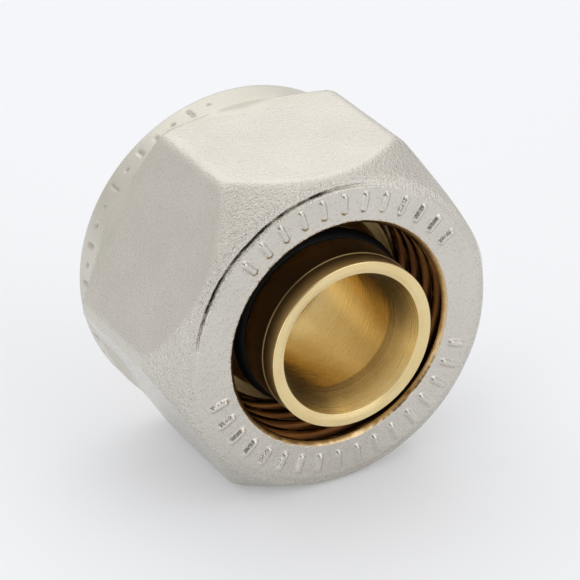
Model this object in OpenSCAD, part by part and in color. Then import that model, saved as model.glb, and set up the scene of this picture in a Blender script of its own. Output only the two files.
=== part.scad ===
// Eurocone compression fitting: a hexagon union nut over a turned insert for multilayer pipe.
// The fitting lies on one flat of its hexagon. Its axis runs along Y, and the threaded mouth faces -Y.
// The origin is on the axis, in the plane of the nut's mouth face. Depths are measured from there along +Y.

/* [Pipe] */
// Outside diameter of the pipe that the fitting clamps
pipe_d = 16; // [14:0.5:18]
// Wall thickness of the pipe
pipe_wall = 2; // [1.6:0.1:2.4]

/* [Nut outside] */
// Width of the hexagon across its flats
across_flats = 27; // [26:0.1:30]
// Radius of the soft ridges between the flats
ridge_r = 1.6; // [0.8:0.1:3]
// Width of the ledge between the flat mouth face and the forged cone
mouth_face_ledge = 0.75; // [0.3:0.05:1.5]
// Height of the mouth face above the forged cone behind it
mouth_face_rise = 0.3; // [0.1:0.05:0.6]
// How far inside the flats the forged cone starts
front_cone_inset = 0.3; // [0.1:0.05:0.8]
// Angle of the forged cone to the nut's axis
front_cone_angle = 31; // [25:1:40]
// Radius of the rounding between the ledge and the forged cone
front_edge_r = 0.7; // [0.2:0.05:1]
// How far the turned collar at the rear stands proud of the flats
collar_proud = 0.4; // [0.1:0.05:0.8]
// Length of the turned collar
collar_len = 2.8; // [1.5:0.1:4]
// Angle of the turned chamfer on the hexagon's rear corners to the rear face
rear_chamfer_angle = 33; // [25:1:40]
// Chamfer on the collar's rear edge
collar_edge = 0.3; // [0.1:0.05:0.6]

/* [Nut thread and seat] */
// How much wider the thread's crests are than the pipe (G1/2, 18.631 mm at its crests, on 16 mm pipe)
thread_over_pipe = 2.631; // [2.2:0.001:3.4]
// Depth of the thread's grooves (1.162 mm for G1/2)
thread_depth = 1.162; // [0.8:0.001:1.5]
// Depth of the thread from the mouth face
thread_len = 7.85; // [6.5:0.05:10]
// Chamfer at the thread's mouth
mouth_chamfer = 0.35; // [0.2:0.05:0.8]
// Length of the relief groove behind the thread
relief_len = 1.4; // [1:0.1:2.5]
// Length of the chamber that holds the split ring
chamber_len = 4.05; // [3:0.05:7]
// Angle of the seat cone to the nut's axis
seat_angle = 25; // [20:1:45]
// Length of the pipe hole behind the seat
pipe_hole_len = 2.2; // [1.5:0.1:4]
// Chamfer on the pipe hole's rear edge
pipe_hole_edge = 0.4; // [0.2:0.05:0.8]

/* [Insert] */
// How much smaller in radius the nose's tip is
nose_tip_step = 0.08; // [0.05:0.01:0.2]
// Length of the nose's tip
nose_tip_len = 1.6; // [1:0.05:4]
// Length of the nose between its tip and the seal groove
nose_land_len = 2.75; // [1:0.05:4]
// Wall between the waterway and the seal groove in the nose
nose_wall = 0.67; // [0.5:0.01:1.2]
// Width of the flat rim round the mouth
rim_w = 0.5; // [0.2:0.05:0.7]
// Width of the bevel on the rim's inner edge
rim_bevel = 0.45; // [0.2:0.05:0.6]
// Depth of the bevel on the rim's inner edge
rim_bevel_depth = 0.15; // [0.1:0.05:0.4]
// Length of the lead-in cone behind the bevel
lead_in_len = 2.8; // [1.5:0.05:4]
// Length of the cone between the seal groove and the flange
cone_len = 2.1; // [1.5:0.1:4]
// Angle of that cone to the axis, half of the standard 30 degree cone
cone_angle = 15; // [10:1:20]
// Thickness of the flange
flange_t = 1.6; // [1.2:0.1:3]
// Wall between the waterway and the barbs at the front of the stem
barb_wall = 0.6; // [0.4:0.01:1]
// Wall between the narrower waterway and the seal grooves in the stem
stem_wall = 0.72; // [0.5:0.01:1.2]
// Length of the barbed part of the stem behind the washer
barb_len = 3; // [2:0.1:5]
// Number of barbs on the stem
barb_count = 3; // [2:1:4]
// Depth of each barb
barb_depth = 0.25; // [0.1:0.05:0.4]
// Length of the land between the stem's two seal grooves
stem_land_len = 1.5; // [1:0.1:3]
// Length of the stem's tip behind the rear seal groove
stem_tip_len = 2; // [1.2:0.1:4]
// Lead-in chamfer on the stem's tip
stem_tip_chamfer = 0.7; // [0.3:0.05:0.9]

/* [Seals and ring] */
// Section diameter of the cone seal
cone_seal_w = 1.8; // [1.6:0.1:2.2]
// How far the cone seal stands proud of the nose
cone_seal_proud = 0.42; // [0.3:0.01:0.8]
// Section diameter of the two stem seals
stem_seal_w = 1.5; // [1.2:0.1:1.7]
// How far the stem seals are squeezed by the pipe's bore
stem_seal_squeeze = 0.25; // [0.1:0.05:0.35]
// Thickness of the dielectric washer
washer_t = 1; // [0.6:0.1:2]
// Wall of the split ring at the thin end of its cone
ring_tip_wall = 0.4; // [0.3:0.05:0.7]
// Width of the slit in the split ring
ring_slit = 1.8; // [1:0.1:3]
// Number of grip grooves inside the split ring
ring_grips = 3; // [2:1:4]
// Depth of the grip grooves
ring_grip_depth = 0.3; // [0.1:0.05:0.4]

/* [Clearances] */
// Radial clearance of the flange in the thread's crests
flange_clear = 0.32; // [0.3:0.01:0.5]
// Radial clearance of the split ring in the thread's crests
ring_pass_clear = 0.2; // [0.1:0.05:0.4]
// Clearance between the split ring and the nut
ring_clear = 0.3; // [0.3:0.05:0.5]
// Clearance between the split ring and the washer
ring_gap = 0.3; // [0.3:0.05:0.6]
// Radial clearance of the pipe in the nut
pipe_clear = 0.3; // [0.2:0.05:0.5]
// Radial clearance of the pipe in the open split ring
pipe_ring_clear = 0.1; // [0.05:0.05:0.2]
// Radial clearance of the stem in the pipe
stem_clear = 0.15; // [0.1:0.05:0.25]
// Radial clearance of the washer on the stem
washer_clear = 0.1; // [0.05:0.05:0.2]
// Clearance that keeps each seal and the washer off the faces they lie against
contact_clear = 0.03; // [0.02:0.01:0.05]

/* [Hidden] */
$fn = 96;

// How far cutting tools run past the faces they open
over = 1;

// Nut radii
hex_r = across_flats / 2;
ridge_centre_r = (hex_r - ridge_r) / cos(30);
front_cone_r = hex_r - front_cone_inset;
mouth_face_r = front_cone_r - mouth_face_ledge;
collar_r = hex_r + collar_proud;
thread_r = (pipe_d + thread_over_pipe) / 2;
relief_r = thread_r + thread_depth + 0.1;
ring_r = thread_r - ring_pass_clear;
chamber_r = ring_r + ring_clear;
ring_bore_r = pipe_d / 2 + pipe_ring_clear;
pipe_hole_r = pipe_d / 2 + pipe_clear;

// Nut depths, from the mouth face to the rear
relief_end = thread_len + relief_len;
chamber_end = relief_end + chamber_len;
seat_end = chamber_end + (chamber_r - pipe_hole_r) / tan(seat_angle);
nut_len = seat_end + pipe_hole_len;
hex_end = nut_len - collar_len;

// The ring's cone runs parallel to the seat, at the clearance measured square to it
ring_start = relief_end + ring_clear;
ring_cone_start = chamber_end - ring_clear / sin(seat_angle) + ring_clear / tan(seat_angle);
ring_end = ring_cone_start + (ring_r - ring_bore_r - ring_tip_wall) / tan(seat_angle);

// Depths of the insert's features, from the ring in the nut forwards
washer_end = ring_start - ring_gap;
washer_start = washer_end - washer_t;
flange_end = washer_start - contact_clear;
flange_start = flange_end - flange_t;
cone_start = flange_start - cone_len;
cone_groove_w = cone_seal_w + 0.2;
cone_groove_start = cone_start - cone_groove_w;
nose_step = cone_groove_start - nose_land_len;
nose_front = nose_step - nose_tip_len;

// Depths of the insert's features, from the washer backwards
barb_end = washer_end + barb_len;
stem_groove_w = stem_seal_w + 0.3;
rear_groove_start = barb_end + stem_groove_w + stem_land_len;
stem_end = rear_groove_start + stem_groove_w + stem_tip_len;

// Insert radii
stem_r = pipe_d / 2 - pipe_wall - stem_clear;
flow_r = stem_r - barb_depth - barb_wall;
cone_groove_r = flow_r + nose_wall;
cone_seal_centre_r = cone_groove_r + contact_clear + cone_seal_w / 2;
nose_r = cone_seal_centre_r + cone_seal_w / 2 - cone_seal_proud;
tip_r = nose_r - nose_tip_step;
tip_edge = 0.05;
rim_inner_r = tip_r - tip_edge - rim_w;
mouth_r = rim_inner_r - rim_bevel;
cone_r = nose_r + 0.2;
cone_end_r = cone_r + cone_len * tan(cone_angle);
flange_r = thread_r - flange_clear;
flange_edge = 0.25;
stem_seal_centre_r = pipe_d / 2 - pipe_wall + stem_seal_squeeze - stem_seal_w / 2;
stem_groove_r = stem_seal_centre_r - stem_seal_w / 2 - contact_clear;
stem_flow_r = stem_groove_r - stem_wall;

// The waterway narrows in a drill's cone that ends where the stem's first seal groove starts
drill_half_angle = 59;
flow_end = barb_end - (flow_r - stem_flow_r) / tan(drill_half_angle);

// Turns a shape drawn along +Z to lie along +Y
module along_axis() {
    rotate([-90, 0, 0]) children();
}

// A solid of revolution from points of [radius, depth]
module turned(profile) {
    along_axis() rotate_extrude() polygon(profile);
}

// A seal of round section at a radius and a depth
module seal(centre_r, depth, section_d) {
    along_axis()
        translate([0, 0, depth])
            rotate_extrude()
                translate([centre_r, 0])
                    circle(d = section_d, $fn = 48);
}

// The hexagon's outline, with a flat at the top and soft ridges between the flats
module rounded_hexagon() {
    polygon([for (k = [0:5]) for (side = [-30, 30])
        ridge_centre_r * [cos(60 * k), sin(60 * k)]
            + ridge_r * [cos(60 * k + side), sin(60 * k + side)]]);
    for (k = [0:5]) {
        rotate(60 * k) translate([ridge_centre_r, 0]) circle(r = ridge_r);
    }
}

// The forged hexagon, cut by a cone at the front and by a turned chamfer at the rear
module nut_hexagon() {
    clear_r = across_flats;
    cone_run = (clear_r - front_cone_r) / tan(front_cone_angle);
    chamfer_run = (clear_r - collar_r) * tan(rear_chamfer_angle);
    edge_turn = 90 - front_cone_angle;
    edge_centre_r = front_cone_r - front_edge_r * tan(edge_turn / 2);
    intersection() {
        along_axis() linear_extrude(hex_end) rounded_hexagon();
        turned([
            [0, mouth_face_rise],
            for (k = [0:4]) [
                edge_centre_r + front_edge_r * sin(edge_turn * k / 4),
                mouth_face_rise + front_edge_r * (1 - cos(edge_turn * k / 4))
            ],
            [clear_r, mouth_face_rise + cone_run],
            [clear_r, hex_end],
            [0, hex_end]
        ]);
        turned([
            [0, 0],
            [clear_r, 0],
            [clear_r, hex_end - chamfer_run],
            [collar_r, hex_end],
            [0, hex_end]
        ]);
    }
}

// The union nut: forging, mouth face, collar, thread bore, ring chamber, seat and pipe hole
module nut() {
    face_edge = 0.12;
    color("silver") difference() {
        union() {
            nut_hexagon();
            turned([
                [0, 0],
                [mouth_face_r - face_edge, 0],
                [mouth_face_r, face_edge],
                [mouth_face_r, mouth_face_rise + over],
                [0, mouth_face_rise + over]
            ]);
            turned([
                [0, hex_end - over],
                [collar_r - over, hex_end - over],
                [collar_r, hex_end],
                [collar_r, nut_len - collar_edge],
                [collar_r - collar_edge, nut_len],
                [0, nut_len]
            ]);
        }
        turned([
            [0, -over],
            [thread_r + mouth_chamfer + over, -over],
            [thread_r, mouth_chamfer],
            [thread_r, thread_len],
            [relief_r, thread_len],
            [relief_r, relief_end],
            [chamber_r, relief_end],
            [chamber_r, chamber_end],
            [pipe_hole_r, seat_end],
            [pipe_hole_r, nut_len - pipe_hole_edge],
            [pipe_hole_r + pipe_hole_edge + over, nut_len + over],
            [0, nut_len + over]
        ]);
    }
}

// One barb: a ramp that rises towards the flange, so that the pipe slides on and grips
module barb_groove(start, pitch) {
    turned([
        [stem_r, start],
        [stem_r + over, start],
        [stem_r + over, start + pitch],
        [stem_r - barb_depth, start + pitch]
    ]);
}

// The turned insert: nose, seal groove, cone, flange and barbed stem, bored through
module insert() {
    barb_pitch = barb_len / barb_count;
    color("goldenrod") difference() {
        turned([
            [0, nose_front],
            [tip_r - tip_edge, nose_front],
            [tip_r, nose_front + tip_edge],
            [tip_r, nose_step],
            [nose_r, nose_step + nose_tip_step],
            [nose_r, cone_groove_start],
            [cone_groove_r, cone_groove_start],
            [cone_groove_r, cone_start],
            [cone_r, cone_start],
            [cone_end_r, flange_start],
            [flange_r - flange_edge, flange_start],
            [flange_r, flange_start + flange_edge],
            [flange_r, flange_end - flange_edge],
            [flange_r - flange_edge, flange_end],
            [stem_r, flange_end],
            [stem_r, barb_end],
            [stem_groove_r, barb_end],
            [stem_groove_r, barb_end + stem_groove_w],
            [stem_r, barb_end + stem_groove_w],
            [stem_r, rear_groove_start],
            [stem_groove_r, rear_groove_start],
            [stem_groove_r, rear_groove_start + stem_groove_w],
            [stem_r, rear_groove_start + stem_groove_w],
            [stem_r, stem_end - stem_tip_chamfer],
            [stem_r - stem_tip_chamfer, stem_end],
            [0, stem_end]
        ]);
        turned([
            [0, nose_front - over],
            [rim_inner_r, nose_front - over],
            [rim_inner_r, nose_front],
            [mouth_r, nose_front + rim_bevel_depth],
            [flow_r, nose_front + rim_bevel_depth + lead_in_len],
            [flow_r, flow_end],
            [stem_flow_r, barb_end],
            [stem_flow_r, stem_end + over],
            [0, stem_end + over]
        ]);
        for (k = [0:barb_count - 1]) {
            barb_groove(washer_end + k * barb_pitch, barb_pitch);
        }
    }
}

// The split ring that the nut closes on the pipe: a cone at the rear and grip grooves inside
module split_ring() {
    ring_len = ring_end - ring_start;
    grip_pitch = ring_len / (ring_grips + 1);
    edge = 0.2;
    color("darkgoldenrod") difference() {
        turned([
            [ring_bore_r, ring_start],
            [ring_r - edge, ring_start],
            [ring_r, ring_start + edge],
            [ring_r, ring_cone_start],
            [ring_bore_r + ring_tip_wall, ring_end],
            [ring_bore_r, ring_end]
        ]);
        for (k = [1:ring_grips]) {
            turned([
                [ring_bore_r - over, ring_start + k * grip_pitch - over],
                [ring_bore_r + ring_grip_depth, ring_start + k * grip_pitch],
                [ring_bore_r - over, ring_start + k * grip_pitch + over]
            ]);
        }
        translate([-ring_slit / 2, ring_start - over, 0])
            cube([ring_slit, ring_len + 2 * over, ring_r + over]);
    }
}

// The seal on the nose, in front of the cone
module cone_seal() {
    color("dimgray") seal(cone_seal_centre_r, cone_start - cone_groove_w / 2, cone_seal_w);
}

// The seal on the stem that is nearer the flange
module stem_seal_front() {
    color("dimgray") seal(stem_seal_centre_r, barb_end + stem_groove_w / 2, stem_seal_w);
}

// The seal on the stem that is nearer its tip
module stem_seal_rear() {
    color("dimgray") seal(stem_seal_centre_r, rear_groove_start + stem_groove_w / 2, stem_seal_w);
}

// The washer that keeps the pipe's aluminium layer off the brass flange
module dielectric_washer() {
    washer_r = pipe_d / 2 - contact_clear;
    color("white") turned([
        [stem_r + washer_clear, washer_start],
        [washer_r, washer_start],
        [washer_r, washer_end],
        [stem_r + washer_clear, washer_end]
    ]);
}

nut();
insert();
split_ring();
cone_seal();
stem_seal_front();
stem_seal_rear();
dielectric_washer();
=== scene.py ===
import math

import bpy
from mathutils import Matrix, Vector, noise


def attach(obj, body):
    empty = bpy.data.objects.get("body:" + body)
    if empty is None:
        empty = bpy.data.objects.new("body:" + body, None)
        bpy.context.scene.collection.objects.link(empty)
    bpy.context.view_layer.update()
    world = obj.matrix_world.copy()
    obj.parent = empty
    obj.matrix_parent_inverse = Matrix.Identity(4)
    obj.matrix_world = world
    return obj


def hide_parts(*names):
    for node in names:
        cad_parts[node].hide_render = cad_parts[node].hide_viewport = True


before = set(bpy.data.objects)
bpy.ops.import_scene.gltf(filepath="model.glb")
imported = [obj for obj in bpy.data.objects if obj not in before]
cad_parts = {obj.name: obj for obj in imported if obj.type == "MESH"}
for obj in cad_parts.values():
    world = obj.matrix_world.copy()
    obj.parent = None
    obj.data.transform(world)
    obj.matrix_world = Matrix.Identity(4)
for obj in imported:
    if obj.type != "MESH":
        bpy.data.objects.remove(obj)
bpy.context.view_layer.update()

MM = 0.001

# Sizes of the CAD model, in millimetres. Depths run along +Y from the nut's mouth face.
HEX_R = 13.5
RIDGE_R = 1.6
RIDGE_CENTRE_R = (HEX_R - RIDGE_R) / math.cos(math.radians(30))
CONE_START_R = 13.2
CONE_START = 0.3
CONE_ANGLE = 31
CONE_SLOPE = math.tan(math.radians(CONE_ANGLE))
FACE_R = 12.45
COLLAR_R = 13.9
HEX_END = 15.092
NUT_LEN = 17.892
CHAMFER_SLOPE = 1 / math.tan(math.radians(33))
THREAD_CREST_R = 9.3155
THREAD_ROOT_R = 10.4775
THREAD_PITCH = 1.814
THREAD_END = 7.85
RELIEF_R = 10.5775
RELIEF_END = 9.25
CHAMBER_R = 9.4155
CHAMBER_END = 13.3
SEAT_END = 15.692
PIPE_HOLE_R = 8.3
MOUTH_CHAMFER = 0.35
FRONT_EDGE_R = 0.7


def smooth_min(a, b, k):
    """The smaller of a and b, rounded where they meet within k."""
    if k <= 0:
        return min(a, b)
    h = max(k - abs(a - b), 0.0) / k
    return min(a, b) - h * h * k / 4


def smooth_step(low, high, value):
    t = min(1.0, max(0.0, (value - low) / (high - low)))
    return t * t * (3 - 2 * t)


def link(obj):
    bpy.context.scene.collection.objects.link(obj)
    return obj


def polar_solid(name, stations, segments):
    """A closed solid round the Y axis. Each station is a function of the angle that gives
    (radius, depth, material index, grain and glint mask, painted shade), and the last station joins the
    first."""
    verts = []
    faces = []
    slots = []
    grain_and_glint_values = []
    painted_shades = []
    count = len(stations)
    for station in stations:
        for i in range(segments):
            angle = 2 * math.pi * i / segments
            radius, depth, slot, grain_and_glint, painted_shade = station(angle)
            verts.append((radius * math.cos(angle) * MM, depth * MM, radius * math.sin(angle) * MM))
            grain_and_glint_values.append(grain_and_glint)
            painted_shades.append(painted_shade)
            if i == 0:
                slots.append(slot)
    for j in range(count):
        k = (j + 1) % count
        for i in range(segments):
            n = (i + 1) % segments
            faces.append((j * segments + i, j * segments + n, k * segments + n, k * segments + i))
    mesh = bpy.data.meshes.new(name)
    mesh.from_pydata(verts, [], faces)
    mesh.update()
    mesh.attributes.new("grain_and_glint", "FLOAT", "POINT").data.foreach_set("value", grain_and_glint_values)
    mesh.attributes.new("painted_shade", "FLOAT", "POINT").data.foreach_set("value", painted_shades)
    for index, polygon in enumerate(mesh.polygons):
        polygon.use_smooth = True
        polygon.material_index = slots[index // segments]
    return link(bpy.data.objects.new(name, mesh))


def hexagon_r(angle):
    """Radius of the soft-ridged hexagon at an angle, with ridges at 0, 60 and so on."""
    local = abs((math.degrees(angle) + 30) % 60 - 30)
    rad = math.radians(local)
    tangent = math.degrees(math.atan2(RIDGE_R * 0.5, RIDGE_CENTRE_R + RIDGE_R * math.cos(math.radians(30))))
    if local < tangent:
        aside = RIDGE_CENTRE_R * math.sin(rad)
        return RIDGE_CENTRE_R * math.cos(rad) + math.sqrt(RIDGE_R ** 2 - aside ** 2)
    return HEX_R / math.cos(math.radians(30) - rad)


def forged_wobble(angle, depth, scale=0.35, amount=0.05):
    """Slow unevenness of the forging, always inwards."""
    p = Vector((math.cos(angle) * 13 * scale, depth * scale, math.sin(angle) * 13 * scale))
    return amount * (noise.noise(p) * 0.5 - 0.5)


def around(angle, radius=9.0, level=5.0, scale=1.0):
    """Smooth noise round the axis."""
    return noise.noise(Vector((math.cos(angle) * radius * scale, level, math.sin(angle) * radius * scale)))


# The nut's outside

def cone_front_r(depth):
    """Radius of the forged cone with its rounded front edge."""
    turn = math.radians(90 - CONE_ANGLE)
    start_r = CONE_START_R - FRONT_EDGE_R * math.tan(turn / 2)
    rounded = FRONT_EDGE_R * (1 - math.cos(turn))
    if depth < CONE_START + rounded:
        drop = max(depth - CONE_START, 0.0)
        return start_r + math.sqrt(max(FRONT_EDGE_R ** 2 - (FRONT_EDGE_R - drop) ** 2, 0.0))
    return CONE_START_R + (depth - CONE_START) * CONE_SLOPE


def hex_station(depth, slot):
    def at(angle):
        cone_r = cone_front_r(depth)
        chamfer_r = COLLAR_R + (HEX_END - depth) * CHAMFER_SLOPE
        flat_r = hexagon_r(angle)
        r = smooth_min(flat_r, cone_r, 0.3)
        r = smooth_min(r, chamfer_r, 0.08)
        r += forged_wobble(angle, depth)
        # The collar's turned front, a cone that rises out of the flats
        ramp_r = COLLAR_R - (HEX_END - depth) * 0.5 - 0.02
        r = -smooth_min(-r, -ramp_r, 0.22)
        cone_zone = smooth_step(-0.25, 0.25, flat_r - cone_r)
        return r, depth, slot, 0.22 + 0.45 * cone_zone, 0.0
    return at


def ring_station(radius, depth, slot, grain_and_glint=0.3, painted_shade=0.0):
    return lambda angle: (radius, depth, slot, grain_and_glint, painted_shade)


def crevice(angle):
    """How deep the crevice round the mouth face is: open at the upper left, closed elsewhere."""
    degrees = math.degrees(angle) % 360
    open_part = smooth_step(66, 100, degrees) * (1 - smooth_step(150, 184, degrees))
    uneven = 0.85 + 0.4 * around(angle, scale=0.6) + 0.3 * around(angle, scale=2.4, level=8)
    return open_part * min(1.0, max(0.4, uneven))


def edge_station(radius, low, high, slot, wander=0.07):
    """A station round the mouth face's edge. Its depth is low where the crevice is closed
    and high where it is open, and it wanders a little, as a forged edge does."""
    def at(angle):
        share = crevice(angle)
        shift = wander * (0.9 * around(angle, scale=0.35) + 0.5 * around(angle, scale=2.6, level=9))
        depth = low + (high - low) * share
        # Painted shade: the colour darkens deep in the open crevice, where shade falls.
        painted_shade = smooth_step(0.3, 0.55, depth) * share if high > 0.45 else 0.0
        return radius + shift, depth, slot, 0.4, painted_shade
    return at


# Stamped marks round the collar: plain dots and dashes, as (angle, depth, half width, half length)
STAMPS = []
for k in range(20):
    dash = (0.0, 0.42, 0.0, 0.0, 0.3)[k % 5]
    for start in (100, 280):
        STAMPS.append((start + k * 7.0, 16.4, 0.16, dash))


def stamp_depth(angle, depth):
    degrees = math.degrees(angle)
    best = 0.0
    for at, middle, half, dash in STAMPS:
        across = abs((degrees - at + 180) % 360 - 180)
        if across > 5:
            continue
        across = math.radians(across) * COLLAR_R
        distance = math.hypot(across, max(abs(depth - middle) - dash, 0.0))
        best = max(best, 1 - smooth_step(half - 0.06, half + 0.1, distance))
    return best


def collar_station(depth):
    def at(angle):
        stamp = stamp_depth(angle, depth)
        # The stamps are dents, and their colour is darkened as painted shade inside them.
        return COLLAR_R - 0.02 - 0.13 * stamp, depth, TURNED, 0.2 + 0.5 * stamp, 0.25 * stamp
    return at


# Raised marks on the ring face: plain ticks, as (angle, radius, half length, half width)
MARK_HEIGHT = 0.27
MARKS = []
for k in range(12):
    MARKS.append((32 + k * 9.3, 11.2, 0.55, 0.24))
for k in range(17):
    MARKS.append((196 + k * 9.0, 11.2, 0.55, 0.24))


def mark_height(radius, angle):
    degrees = math.degrees(angle) % 360
    best = 0.0
    for middle, centre_r, half_length, half_width in MARKS:
        if abs((degrees - middle + 180) % 360 - 180) > 7:
            continue
        a = math.radians(middle)
        along = radius * math.cos(angle - a) - centre_r
        across = radius * math.sin(angle - a)
        distance = math.hypot(max(abs(along) - half_length, 0.0), across)
        best = max(best, 1 - smooth_step(half_width - 0.12, half_width + 0.12, distance))
    return best


def face_station(radius, slot, depth=0.0):
    def at(angle):
        p = Vector((radius * math.cos(angle), 3.0, radius * math.sin(angle)))
        wobble = 0.025 * noise.noise(p * 0.5) + 0.022 * noise.noise(p * 2.2)
        mark = mark_height(radius, angle)
        return radius, depth + 0.045 + wobble - MARK_HEIGHT * mark, slot, 0.22, 0.0
    return at


def mouth_edge_station(inset, depth, slot, grain_and_glint, painted_shade):
    """The uneven line where the forged face meets the turned chamfer."""
    def at(angle):
        degrees = math.degrees(angle) % 360
        rough = 0.35 + 0.65 * smooth_step(215, 240, degrees) * (1 - smooth_step(325, 350, degrees))
        uneven = 0.11 * around(angle, scale=1.1, level=2) + 0.07 * around(angle, scale=2.8, level=4)
        return THREAD_CREST_R + MOUTH_CHAMFER - inset + rough * (uneven - 0.03), depth, slot, grain_and_glint, painted_shade
    return at


def thread_shape(angle, depth):
    """From -1 at the thread's crest to 1 at its root."""
    phase = (depth / THREAD_PITCH + angle / (2 * math.pi)) % 1.0
    triangle = 1 - 4 * abs(phase - 0.5)
    return math.sin(math.pi / 2 * max(-1.0, min(1.0, 1.1 * triangle)))


def thread_station(depth, slot):
    def at(angle):
        shape = thread_shape(angle, depth)
        mid = (THREAD_CREST_R + THREAD_ROOT_R) / 2
        half = (THREAD_ROOT_R - THREAD_CREST_R) / 2
        # The crests get a bright worn colour in patches: polished brass, with painted glints on it.
        patchy = smooth_step(-0.1, 0.35, around(angle, scale=0.7, level=depth * 1.7))
        worn_and_glint = smooth_step(0.84, 1.0, -shape) * patchy
        groove = (mid + half * shape - THREAD_CREST_R) * smooth_step(MOUTH_CHAMFER, 1.2, depth)
        chamfer_r = THREAD_CREST_R + MOUTH_CHAMFER - depth
        return max(THREAD_CREST_R + groove, chamfer_r), depth, slot, worn_and_glint, 0.0
    return at


FORGED = 0
TURNED = 1
BRASS = 2

SEGMENTS = 600
stations = []
# Thread, from its inner end to the mouth
steps = 50
for k in range(steps + 1):
    depth = THREAD_END - (THREAD_END - 0.36) * k / steps
    stations.append(thread_station(depth, BRASS))
for depth in (0.34, 0.2):
    stations.append(ring_station(THREAD_CREST_R + MOUTH_CHAMFER - depth, depth, BRASS, 1.0))
stations.append(mouth_edge_station(0.03, 0.04, BRASS, 1.0, 0.0))
stations.append(mouth_edge_station(0.0, 0.02, FORGED, 0.6, 0.0))
# Ring face
for k in range(19):
    stations.append(face_station(9.83 + (12.2 - 9.83) * k / 18, FORGED))
FACE_EDGE = [
    (12.3, 0.05, 0.02), (12.38, 0.06, 0.03), (12.44, 0.08, 0.14), (12.47, 0.1, 0.5),
    (12.53, 0.13, 0.62), (12.6, 0.17, 0.5), (12.67, 0.21, 0.3), (12.78, 0.28, 0.29),
]
for radius, low, high in FACE_EDGE:
    stations.append(edge_station(radius, low, high, FORGED))
for depth in (0.32, 0.36, 0.42, 0.5, 0.62, 0.78, 0.95, 1.2):
    stations.append(hex_station(depth, FORGED))
for k in range(9):
    stations.append(hex_station(1.5 + k * 0.3, FORGED))
for depth in (4.3, 5.0, 6.2, 7.6, 9.0, 10.4, 11.8, 13.0, 13.7):
    stations.append(hex_station(depth, FORGED))
for depth in (14.0, 14.2, 14.35, 14.5, 14.6, 14.7, 14.8, 14.9, 15.0):
    stations.append(hex_station(depth, TURNED))
# Collar
for radius, depth in [(13.85, 15.07), (13.88, 15.14), (13.88, 15.3)]:
    stations.append(ring_station(radius, depth, TURNED))
for k in range(14):
    stations.append(collar_station(15.75 + k * 0.1))
for radius, depth in [(13.88, 17.5), (13.86, 17.62), (13.62, 17.875), (13.55, 17.892)]:
    stations.append(ring_station(radius, depth, TURNED))
# Rear face, pipe hole, seat, chamber and relief
INSIDE = [
    (11.0, NUT_LEN), (8.75, NUT_LEN), (8.68, 17.88), (8.32, 17.52), (PIPE_HOLE_R, 17.46),
    (PIPE_HOLE_R, 16.6), (PIPE_HOLE_R, 15.75), (8.32, 15.66), (8.8, 14.62), (9.38, 13.38),
    (CHAMBER_R, 13.25), (CHAMBER_R, 11.3), (CHAMBER_R, 9.3), (9.46, RELIEF_END),
    (10.52, RELIEF_END), (RELIEF_R, 9.19), (RELIEF_R, 8.5), (RELIEF_R, 7.9), (10.52, 7.855),
]
for radius, depth in INSIDE:
    stations.append(ring_station(radius, depth, BRASS if radius < 10.9 else TURNED))
nut = polar_solid("union_nut", stations, SEGMENTS)


# The insert: one turned profile

def filleted(points, fillet, steps=4):
    """Points of a closed outline with each corner rounded."""
    out = []
    count = len(points)
    for i in range(count):
        p0 = Vector(points[i - 1])
        p1 = Vector(points[i])
        p2 = Vector(points[(i + 1) % count])
        d0 = (p0 - p1)
        d2 = (p2 - p1)
        turn = abs(d0.normalized().angle(-d2.normalized()))
        if turn < 0.05:
            out.append((p1.x, p1.y))
            continue
        reach = min(fillet * math.tan(turn / 2), d0.length * 0.42, d2.length * 0.42)
        a = p1 + d0.normalized() * reach
        b = p1 + d2.normalized() * reach
        for k in range(steps + 1):
            t = k / steps
            q = a * (1 - t) ** 2 + p1 * 2 * t * (1 - t) + b * t ** 2
            out.append((q.x, q.y))
    return out


TIP_R = 7.0
NOSE_R = 7.08
RIM_INNER_R = 6.45
MOUTH_R = 6.0
BORE_R = 5.0
SEAL_GROOVE_R = 5.67
FLANGE_R = 8.9955
FLANGE_EDGE = 0.25
STEM_R = 5.85
BARB_R = 5.6
STEM_GROOVE_R = 4.72
STEM_BORE_R = 4.0
NOSE_FRONT = -1.83
NOSE_STEP = -0.23

nose = [
    (BORE_R, 1.12), (MOUTH_R, -1.68), (RIM_INNER_R, NOSE_FRONT), (TIP_R - 0.05, NOSE_FRONT),
    (TIP_R, NOSE_FRONT + 0.05), (TIP_R, NOSE_STEP), (NOSE_R, NOSE_STEP + 0.04), (NOSE_R, 2.52),
    (SEAL_GROOVE_R, 2.52), (SEAL_GROOVE_R, 4.52), (7.28, 4.52), (7.843, 6.62),
]
flange = [
    (FLANGE_R - FLANGE_EDGE, 6.62), (FLANGE_R, 6.62 + FLANGE_EDGE), (FLANGE_R, 8.22 - FLANGE_EDGE),
    (FLANGE_R - FLANGE_EDGE, 8.22), (STEM_R, 8.22),
]
barbs = []
for depth in (9.25, 10.25, 11.25):
    barbs += [(STEM_R, depth), (BARB_R, depth + 1)]
seal_grooves = []
for depth in (12.25, 15.55):
    seal_grooves += [(STEM_GROOVE_R, depth), (STEM_GROOVE_R, depth + 1.8), (STEM_R, depth + 1.8)]
    seal_grooves += [(STEM_R, depth + 3.3)] if depth < 15 else [(STEM_R, 18.65)]
stem_end = [(5.15, 19.35), (STEM_BORE_R, 19.35), (STEM_BORE_R, 12.25), (BORE_R, 11.649)]
profile = filleted(nose + flange + barbs + seal_grooves + stem_end, 0.05)
BARE_BRASS = 1


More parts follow.
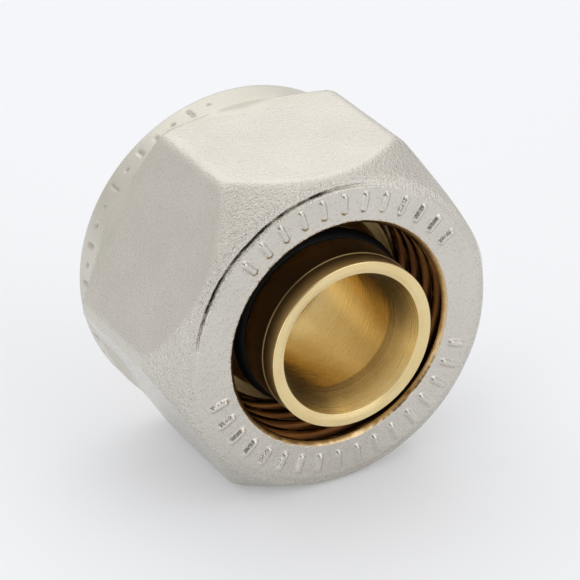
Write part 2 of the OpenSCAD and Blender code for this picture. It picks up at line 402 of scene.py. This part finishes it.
def insert_station(radius, depth):
    """Bright brass at the rim and in the waterway, and darker brass outside."""
    rim = depth < -1.75
    waterway = radius < 4.5 or (radius < 5.02 and depth < 11.7) or (radius < 6.5 and depth < 1.2)
    # Painted shade along the thin step line on the nose.
    step_shade = 0.8 if -0.3 < depth < -0.14 else 0.0
    return ring_station(radius, depth, BARE_BRASS if rim or waterway else 0, 0.0, step_shade)


insert = polar_solid("turned_insert", [insert_station(r, d) for r, d in reversed(profile)], 360)


# Materials

def principled(name, color, metallic, roughness):
    mat = bpy.data.materials.new(name)
    mat.use_nodes = True
    tree = mat.node_tree
    bsdf = tree.nodes["Principled BSDF"]
    bsdf.inputs["Base Color"].default_value = (*color, 1)
    bsdf.inputs["Metallic"].default_value = metallic
    bsdf.inputs["Roughness"].default_value = roughness
    return mat, tree, bsdf


def node(tree, kind, **values):
    n = tree.nodes.new(kind)
    for key, value in values.items():
        if key in n.inputs:
            n.inputs[key].default_value = value
        else:
            setattr(n, key, value)
    return n


def noise_texture(tree, vector, scale, detail=2.0, roughness=0.5):
    n = tree.nodes.new("ShaderNodeTexNoise")
    n.inputs["Scale"].default_value = scale
    n.inputs["Detail"].default_value = detail
    n.inputs["Roughness"].default_value = roughness
    tree.links.new(vector, n.inputs["Vector"])
    return n


def ramp(tree, source, stops):
    n = tree.nodes.new("ShaderNodeValToRGB")
    elements = n.color_ramp.elements
    while len(elements) < len(stops):
        elements.new(0.5)
    for element, (position, color) in zip(elements, stops):
        element.position = position
        element.color = (*color, 1) if len(color) == 3 else color
    tree.links.new(source, n.inputs["Fac"])
    return n


def grey(v):
    return (v, v, v)


def bump(tree, height, strength, distance, normal=None):
    n = tree.nodes.new("ShaderNodeBump")
    n.inputs["Strength"].default_value = strength
    n.inputs["Distance"].default_value = distance
    tree.links.new(height, n.inputs["Height"])
    if normal is not None:
        tree.links.new(normal, n.inputs["Normal"])
    return n


def attribute(tree, name):
    n = tree.nodes.new("ShaderNodeAttribute")
    n.attribute_name = name
    return n.outputs["Fac"]


def mixed(tree, share, a, b, blend="MIX"):
    """The colour a where share is 0 and b where it is 1. Each may be a colour or a socket."""
    n = node(tree, "ShaderNodeMix", data_type="RGBA", blend_type=blend)
    for source, socket in ((share, n.inputs[0]), (a, n.inputs[6]), (b, n.inputs[7])):
        if isinstance(source, (int, float)):
            socket.default_value = source
        elif isinstance(source, tuple):
            socket.default_value = (*source, 1)
        else:
            tree.links.new(source, socket)
    return n.outputs[2]


def nickel(name, light, dark, low_rough, high_rough, fine_bump, coarse_bump, flecks):
    """Blasted and plated metal: the grain attribute sets how coarse the surface is."""
    mat, tree, bsdf = principled(name, light, 1.0, high_rough)
    coords = node(tree, "ShaderNodeTexCoord").outputs["Object"]
    grain_and_glint = attribute(tree, "grain_and_glint")
    fine = noise_texture(tree, coords, 6200, 2.0, 0.6)
    coarse = noise_texture(tree, coords, 3300, 1.0, 0.5)
    cloud = noise_texture(tree, coords, 240, 3.0, 0.5)
    pits = noise_texture(tree, coords, 9000, 1.0, 0.5)
    color = ramp(tree, cloud.outputs["Fac"], [(0.3, dark), (0.7, light)])
    fleck = ramp(tree, pits.outputs["Fac"], [(0.30, grey(1.0)), (0.36, grey(0.0))])
    strength = node(tree, "ShaderNodeMath", operation="MULTIPLY")
    tree.links.new(fleck.outputs["Color"], strength.inputs[0])
    strength.inputs[1].default_value = flecks
    pitted = mixed(tree, strength.outputs[0], color.outputs["Color"], (0.30, 0.28, 0.24))
    # Painted shade: near black in the mouth crevice and in the collar's stamped dents.
    with_painted_shade = mixed(tree, attribute(tree, "painted_shade"), pitted, (0.02, 0.017, 0.013))
    tree.links.new(with_painted_shade, bsdf.inputs["Base Color"])
    rough = ramp(tree, fine.outputs["Fac"], [(0.3, grey(low_rough)), (0.7, grey(high_rough))])
    tree.links.new(rough.outputs["Color"], bsdf.inputs["Roughness"])
    b1 = bump(tree, fine.outputs["Fac"], 1.0, fine_bump)
    b2 = bump(tree, coarse.outputs["Fac"], 1.0, coarse_bump, b1.outputs["Normal"])
    tree.links.new(grain_and_glint, b1.inputs["Strength"])
    tree.links.new(grain_and_glint, b2.inputs["Strength"])
    tree.links.new(b2.outputs["Normal"], bsdf.inputs["Normal"])
    return mat


def tool_marks(tree, coords, scale):
    """Fine rings round the Y axis: noise of depth and radius."""
    split = tree.nodes.new("ShaderNodeSeparateXYZ")
    tree.links.new(coords, split.inputs["Vector"])
    square_x = node(tree, "ShaderNodeMath", operation="MULTIPLY")
    tree.links.new(split.outputs["X"], square_x.inputs[0])
    tree.links.new(split.outputs["X"], square_x.inputs[1])
    square_z = node(tree, "ShaderNodeMath", operation="MULTIPLY")
    tree.links.new(split.outputs["Z"], square_z.inputs[0])
    tree.links.new(split.outputs["Z"], square_z.inputs[1])
    total = node(tree, "ShaderNodeMath", operation="ADD")
    tree.links.new(square_x.outputs[0], total.inputs[0])
    tree.links.new(square_z.outputs[0], total.inputs[1])
    radius = node(tree, "ShaderNodeMath", operation="SQRT")
    tree.links.new(total.outputs[0], radius.inputs[0])
    join = tree.nodes.new("ShaderNodeCombineXYZ")
    tree.links.new(radius.outputs[0], join.inputs["X"])
    tree.links.new(split.outputs["Y"], join.inputs["Y"])
    return noise_texture(tree, join.outputs["Vector"], scale, 3.0, 0.6)


def brass(name, light, dark, roughness, mark_scale, mark_strength, anisotropy=0.0, worn_and_glint=None):
    """Turned brass. Where the grain attribute is 1 the worn colour shows: bare brass on the mouth chamfer,
    and polished thread crests with painted glints.
    """
    mat, tree, bsdf = principled(name, light, 1.0, roughness)
    if anisotropy:
        bsdf.inputs["Anisotropic"].default_value = anisotropy
        bsdf.inputs["Anisotropic Rotation"].default_value = 0.25
        tangent = node(tree, "ShaderNodeTangent", direction_type="RADIAL", axis="Y")
        tree.links.new(tangent.outputs["Tangent"], bsdf.inputs["Tangent"])
    coords = node(tree, "ShaderNodeTexCoord").outputs["Object"]
    cloud = noise_texture(tree, coords, 300, 3.0, 0.6)
    color = ramp(tree, cloud.outputs["Fac"], [(0.3, dark), (0.65, light)]).outputs["Color"]
    if worn_and_glint:
        color = mixed(tree, attribute(tree, "grain_and_glint"), color, worn_and_glint)
    # Painted shade: near black along shaded creases such as the nose's step line.
    color = mixed(tree, attribute(tree, "painted_shade"), color, (0.03, 0.015, 0.006))
    tree.links.new(color, bsdf.inputs["Base Color"])
    marks = tool_marks(tree, coords, mark_scale)
    rough = ramp(tree, marks.outputs["Fac"], [(0.35, grey(roughness * 0.8)), (0.65, grey(roughness * 1.2))])
    tree.links.new(rough.outputs["Color"], bsdf.inputs["Roughness"])
    b1 = bump(tree, marks.outputs["Fac"], mark_strength, 0.00003)
    tree.links.new(b1.outputs["Normal"], bsdf.inputs["Normal"])
    return mat


def rubber():
    mat, tree, bsdf = principled("seal_rubber", (0.006, 0.006, 0.006), 0.0, 0.6)
    bsdf.inputs["Specular IOR Level"].default_value = 0.25
    coords = node(tree, "ShaderNodeTexCoord").outputs["Object"]
    fine = noise_texture(tree, coords, 3000, 2.0)
    rough = ramp(tree, fine.outputs["Fac"], [(0.3, grey(0.52)), (0.7, grey(0.7))])
    tree.links.new(rough.outputs["Color"], bsdf.inputs["Roughness"])
    b1 = bump(tree, fine.outputs["Fac"], 0.2, 0.00003)
    tree.links.new(b1.outputs["Normal"], bsdf.inputs["Normal"])
    return mat


def plastic():
    mat, tree, bsdf = principled("washer_plastic", (0.72, 0.72, 0.68), 0.0, 0.45)
    coords = node(tree, "ShaderNodeTexCoord").outputs["Object"]
    fine = noise_texture(tree, coords, 1500, 2.0)
    color = ramp(tree, fine.outputs["Fac"], [(0.3, (0.68, 0.68, 0.64)), (0.7, (0.76, 0.76, 0.72))])
    tree.links.new(color.outputs["Color"], bsdf.inputs["Base Color"])
    b1 = bump(tree, fine.outputs["Fac"], 0.2, 0.00003)
    tree.links.new(b1.outputs["Normal"], bsdf.inputs["Normal"])
    return mat


mat_forged = nickel("nickel_blasted", (0.665, 0.63, 0.57), (0.62, 0.59, 0.53), low_rough=0.18,
                    high_rough=0.32, fine_bump=0.00016, coarse_bump=0.00014, flecks=0.5)
mat_turned = nickel("nickel_turned", (0.66, 0.63, 0.57), (0.61, 0.58, 0.50), low_rough=0.26,
                    high_rough=0.36, fine_bump=0.00004, coarse_bump=0.00004, flecks=0.15)
# Thread brass: dark for oxide, and darker still as painted shade deep in the thread; its worn colour on the
# crests is polished brass with painted glints.
mat_thread = brass("brass_thread", (0.14, 0.06, 0.017), (0.075, 0.028, 0.01), 0.24, 5000, 0.3,
                   worn_and_glint=(0.70, 0.52, 0.30))
mat_nose = brass("brass_nose", (0.90, 0.66, 0.30), (0.78, 0.54, 0.23), 0.36, 9000, 0.5)
mat_insert = brass("brass_turned", (0.82, 0.66, 0.36), (0.76, 0.59, 0.29), 0.24, 9000, 0.4, anisotropy=0.7)
mat_ring = brass("brass_ring", (0.74, 0.55, 0.29), (0.66, 0.47, 0.22), 0.3, 6000, 0.4)
mat_rubber = rubber()
mat_plastic = plastic()

for mat in (mat_forged, mat_turned, mat_thread):
    nut.data.materials.append(mat)
for mat in (mat_nose, mat_insert):
    insert.data.materials.append(mat)


def dress(name, mat):
    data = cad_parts[name].data
    data.materials.clear()
    data.materials.append(mat)


dress("split_ring", mat_ring)
for name in ("cone_seal", "stem_seal_front", "stem_seal_rear"):
    dress(name, mat_rubber)
dress("dielectric_washer", mat_plastic)

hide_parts("nut")
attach(nut, "nut")
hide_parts("insert")
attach(insert, "insert")

# Floor: it touches the collar's lower edge and the front end of the lowest flat
FLOOR_FRONT = (0.8, -13.5)
FLOOR_REAR = (HEX_END, -COLLAR_R)
floor_tilt = math.atan2(FLOOR_REAR[1] - FLOOR_FRONT[1], FLOOR_REAR[0] - FLOOR_FRONT[0])
floor_half = 1.6
floor_mesh = bpy.data.meshes.new("floor")
floor_corners = [(-floor_half, -floor_half, 0), (floor_half, -floor_half, 0),
                 (floor_half, floor_half, 0), (-floor_half, floor_half, 0)]
floor_mesh.from_pydata(floor_corners, [], [(0, 1, 2, 3)])
floor = link(bpy.data.objects.new("floor", floor_mesh))
floor.location = (0, FLOOR_REAR[0] * MM, FLOOR_REAR[1] * MM)
floor.rotation_euler = (floor_tilt, 0, 0)


def floor_material():
    mat, tree, bsdf = principled("floor", (0.93, 0.94, 0.97), 0.0, 0.7)
    bsdf.inputs["Specular IOR Level"].default_value = 0.2
    out = tree.nodes["Material Output"]
    path = node(tree, "ShaderNodeLightPath")
    emission = node(tree, "ShaderNodeEmission", Color=(0.95, 0.97, 1.0, 1), Strength=1.0)
    seen = node(tree, "ShaderNodeMath", operation="MAXIMUM")
    tree.links.new(path.outputs["Is Camera Ray"], seen.inputs[0])
    tree.links.new(path.outputs["Is Glossy Ray"], seen.inputs[1])
    share = node(tree, "ShaderNodeMath", operation="MULTIPLY")
    share.inputs[1].default_value = 0.2
    tree.links.new(seen.outputs[0], share.inputs[0])
    mix = node(tree, "ShaderNodeMixShader")
    tree.links.new(share.outputs[0], mix.inputs["Fac"])
    tree.links.new(bsdf.outputs["BSDF"], mix.inputs[1])
    tree.links.new(emission.outputs["Emission"], mix.inputs[2])
    tree.links.new(mix.outputs["Shader"], out.inputs["Surface"])
    return mat


floor.data.materials.append(floor_material())

# World and lamps
scene = bpy.context.scene
scene.view_settings.view_transform = "Standard"
world = bpy.data.worlds.new("studio")
world.use_nodes = True
scene.world = world
background = world.node_tree.nodes["Background"]
background.inputs["Strength"].default_value = 1.18


def studio():
    """Bright towards the back right, where the window is, and dark where the photographer stands."""
    tree = world.node_tree
    direction = node(tree, "ShaderNodeTexCoord").outputs["Generated"]

    def towards(x, y, z):
        dot = node(tree, "ShaderNodeVectorMath", operation="DOT_PRODUCT")
        tree.links.new(direction, dot.inputs[0])
        dot.inputs[1].default_value = Vector((x, y, z)).normalized()
        scaled = node(tree, "ShaderNodeMath", operation="MULTIPLY_ADD")
        tree.links.new(dot.outputs["Value"], scaled.inputs[0])
        scaled.inputs[1].default_value = 0.5
        scaled.inputs[2].default_value = 0.5
        return scaled.outputs[0]

    window = ramp(tree, towards(0.1, 0.25, 0.96), [(0.0, grey(0.5)), (0.5, (0.60, 0.595, 0.59)),
                                                   (0.75, (0.68, 0.677, 0.673)), (1.0, (0.90, 0.90, 0.90))])
    person = ramp(tree, towards(-0.42, -0.77, 0.48), [(0.94, grey(1.0)), (0.97, grey(0.5)),
                                                      (0.985, grey(0.1))])
    mix = mixed(tree, 1.0, window.outputs["Color"], person.outputs["Color"], "MULTIPLY")
    tree.links.new(mix, background.inputs["Color"])


studio()


def lamp(name, place, target, size, watts, color=(1, 1, 1)):
    data = bpy.data.lights.new(name, "AREA")
    data.shape = "RECTANGLE"
    data.size = size[0]
    data.size_y = size[1]
    data.energy = watts
    data.color = color
    obj = link(bpy.data.objects.new(name, data))
    obj.location = place
    obj.rotation_euler = (Vector(target) - Vector(place)).to_track_quat("-Z", "Y").to_euler()
    return obj


TARGET = (0, 0.006, 0)
lamp("window", (0.15, 0.47, 0.38), TARGET, (0.64, 0.64), 0.45, (1.0, 0.99, 0.98))
lamp("left", (-0.30, -0.17, 0.06), TARGET, (0.20, 0.24), 0.12)
lamp("front", (0.18, -0.36, 0.20), TARGET, (0.34, 0.34), 0.26)

# Camera: the photograph's view, from a fit to the nut's edges
VIEW_AZIMUTH = -28.612
VIEW_ELEVATION = 28.755
VIEW_ROLL = -1.209
VIEW_DISTANCE = 236.616 * MM
VIEW_CENTRE = Vector((-2.5769, 3.3589, 3.1247)) * MM
FOCAL_IN_PIXELS = 3065
FRAME_PIXELS = 580
SENSOR = 36

azimuth = math.radians(VIEW_AZIMUTH)
elevation = math.radians(VIEW_ELEVATION)
back = Vector((math.sin(azimuth) * math.cos(elevation),
               -math.cos(azimuth) * math.cos(elevation),
               math.sin(elevation)))
level_right = Vector((0, 0, 1)).cross(back).normalized()
level_up = back.cross(level_right)
roll = math.radians(VIEW_ROLL)
right = level_right * math.cos(roll) + level_up * math.sin(roll)
up = back.cross(right)
camera_data = bpy.data.cameras.new("camera")
camera_data.sensor_width = SENSOR
camera_data.lens = SENSOR * FOCAL_IN_PIXELS / FRAME_PIXELS
camera_data.clip_start = 0.01
camera = link(bpy.data.objects.new("camera", camera_data))
matrix = Matrix((right, up, back)).transposed().to_4x4()
matrix.translation = VIEW_CENTRE + back * VIEW_DISTANCE
camera.matrix_world = matrix
scene.camera = camera
